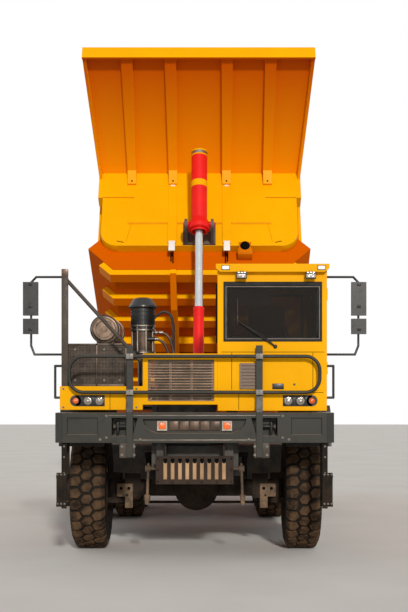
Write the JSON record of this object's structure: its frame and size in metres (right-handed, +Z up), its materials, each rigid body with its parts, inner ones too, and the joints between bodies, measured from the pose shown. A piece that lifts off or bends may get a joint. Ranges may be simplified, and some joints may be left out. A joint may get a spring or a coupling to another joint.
{
  "type": "mining dump truck",
  "caption": "Wide-body three-axle mining dump truck with an offset cab, a raised steel bed with canopy, a front telescopic hoist and twin rear wheels.",
  "frame": {"origin": "on the ground, in the middle of the whole truck's length and width with the bed raised", "axes": "+Z up, -Y towards the front bumper, +X towards the side that carries the cab, which is the truck's left"},
  "size_m": [3.89, 9.5319, 6.9025],
  "materials": {
    "frame_paint": "satin dark grey paint",
    "bumper_paint": "satin grey-green paint",
    "spring_steel": "matt black paint",
    "engine_metal": "grey engine paint",
    "black_metal": "matt black paint",
    "black_plastic": "black moulded plastic",
    "exhaust_steel": "heat-stained steel",
    "hose_rubber": "black rubber",
    "body_yellow": "yellow gloss paint",
    "bracket_grey": "grey primer",
    "hoist_red": "bright red gloss paint",
    "chrome": "hard chrome",
    "lamp_lens": "clear moulded lens",
    "glass": "tinted glass",
    "interior": "dark textured plastic",
    "rim_paint": "yellow paint",
    "tyre": "black tyre rubber"
  },
  "bodies": {
    "chassis": {"frame": "frame_paint", "cross_members": "frame_paint", "bed_hinge": "frame_paint", "hoist_mount": "frame_paint", "engine_block": "engine_metal", "radiator": "black_metal", "front_axle": "frame_paint", "front_springs": "spring_steel", "rear_axles": "frame_paint", "tandem_springs": "spring_steel", "propshafts": "engine_metal", "front_bumper": "bumper_paint", "handrails": "bumper_paint", "rail_posts": "bumper_paint", "front_panels": "body_yellow", "grille": "black_metal", "lamps": "lamp_lens", "lower_guard": "bumper_paint", "cab_shell": "body_yellow", "cab_glass": "glass", "cab_interior": "interior", "wiper": "black_plastic", "mirrors": "black_plastic", "deck": "frame_paint", "deck_brackets": "frame_paint", "side_screen": "black_metal", "air_cleaner": "black_plastic", "muffler": "exhaust_steel", "engine_hoses": "hose_rubber", "fenders": "frame_paint", "side_steps": "bumper_paint", "tanks": "frame_paint"},
    "bed": {"bed_shell": "body_yellow", "headboard": "body_yellow", "side_posts": "body_yellow", "bed_ribs": "body_yellow", "bed_beams": "body_yellow", "canopy": "body_yellow", "hoist_bracket": "bracket_grey"},
    "hoist_cover": {"hoist_cover": "hoist_red"},
    "hoist_stage": {"hoist_rod": "chrome"},
    "hoist_barrel": {"hoist_barrel": "hoist_red"},
    "knuckle_left": {"knuckle_left": "frame_paint"},
    "knuckle_right": {"knuckle_right": "frame_paint"},
    "tie_rod": {"tie_rod": "frame_paint"},
    "wheel_front_left": {"rim_front_left": "rim_paint", "tyre_front_left": "tyre"},
    "wheel_front_right": {"rim_front_right": "rim_paint", "tyre_front_right": "tyre"},
    "wheels_middle_left": {"rims_middle_left": "rim_paint", "tyres_middle_left": "tyre"},
    "wheels_middle_right": {"rims_middle_right": "rim_paint", "tyres_middle_right": "tyre"},
    "wheels_rear_left": {"rims_rear_left": "rim_paint", "tyres_rear_left": "tyre"},
    "wheels_rear_right": {"rims_rear_right": "rim_paint", "tyres_rear_right": "tyre"},
    "cab_door": {"cab_door": "body_yellow", "door_glass": "glass"}
  },
  "joints": [
    {"name": "bed_tip", "type": "hinge", "parent": "chassis", "child": "bed", "pos_m": [0, 3.27, 1.45], "axis": [-1, 0, 0], "range_deg": [-30, 15]},
    {"name": "hoist_swing", "type": "hinge", "parent": "bed", "child": "hoist_cover", "pos_m": [0, -0.56942, 4.39993], "axis": [-1, 0, 0], "range_deg": [-8.95, 17.8]},
    {"name": "hoist_stage_slide", "type": "slide", "parent": "hoist_cover", "child": "hoist_stage", "axis": [0, -0.3274, -0.9449], "range_m": [-1.2025, 0.6022]},
    {"name": "hoist_barrel_slide", "type": "slide", "parent": "hoist_stage", "child": "hoist_barrel", "axis": [0, -0.3274, -0.9449], "range_m": [-1.2615, 0.6318]},
    {"name": "steer_left", "type": "hinge", "parent": "chassis", "child": "knuckle_left", "pos_m": [1, -3.23, 0.745], "axis": [0, 0, 1], "range_deg": [-33, 33]},
    {"name": "steer_right", "type": "hinge", "parent": "chassis", "child": "knuckle_right", "pos_m": [-1, -3.23, 0.745], "axis": [0, 0, 1], "range_deg": [-33.1, 33.1]},
    {"name": "tie_rod_slide", "type": "slide", "parent": "chassis", "child": "tie_rod", "axis": [1, 0, 0], "range_m": [-0.1109, 0.1109]},
    {"name": "spin_front_left", "type": "hinge", "parent": "knuckle_left", "child": "wheel_front_left", "pos_m": [1.3, -3.23, 0.745], "axis": [1, 0, 0], "continuous": true},
    {"name": "spin_front_right", "type": "hinge", "parent": "knuckle_right", "child": "wheel_front_right", "pos_m": [-1.3, -3.23, 0.745], "axis": [1, 0, 0], "continuous": true},
    {"name": "spin_middle_left", "type": "hinge", "parent": "chassis", "child": "wheels_middle_left", "pos_m": [1.335, 0.67, 0.745], "axis": [1, 0, 0], "continuous": true},
    {"name": "spin_middle_right", "type": "hinge", "parent": "chassis", "child": "wheels_middle_right", "pos_m": [-1.335, 0.67, 0.745], "axis": [1, 0, 0], "continuous": true},
    {"name": "spin_rear_left", "type": "hinge", "parent": "chassis", "child": "wheels_rear_left", "pos_m": [1.335, 2.29, 0.745], "axis": [1, 0, 0], "continuous": true},
    {"name": "spin_rear_right", "type": "hinge", "parent": "chassis", "child": "wheels_rear_right", "pos_m": [-1.335, 2.29, 0.745], "axis": [1, 0, 0], "continuous": true},
    {"name": "door_swing", "type": "hinge", "parent": "chassis", "child": "cab_door", "pos_m": [1.514, -4.402, 2.65], "axis": [0, 0, -1], "range_deg": [0, 75]}
  ],
  "couplings": [
    {"joint": "hoist_swing", "follows": "bed_tip", "ratio": -0.59},
    {"joint": "hoist_stage_slide", "follows": "bed_tip", "m_per_rad": 2.2927},
    {"joint": "hoist_barrel_slide", "follows": "bed_tip", "m_per_rad": 2.4055},
    {"joint": "steer_right", "follows": "steer_left", "ratio": 1},
    {"joint": "tie_rod_slide", "follows": "steer_left", "m_per_rad": -0.18912}
  ]
}
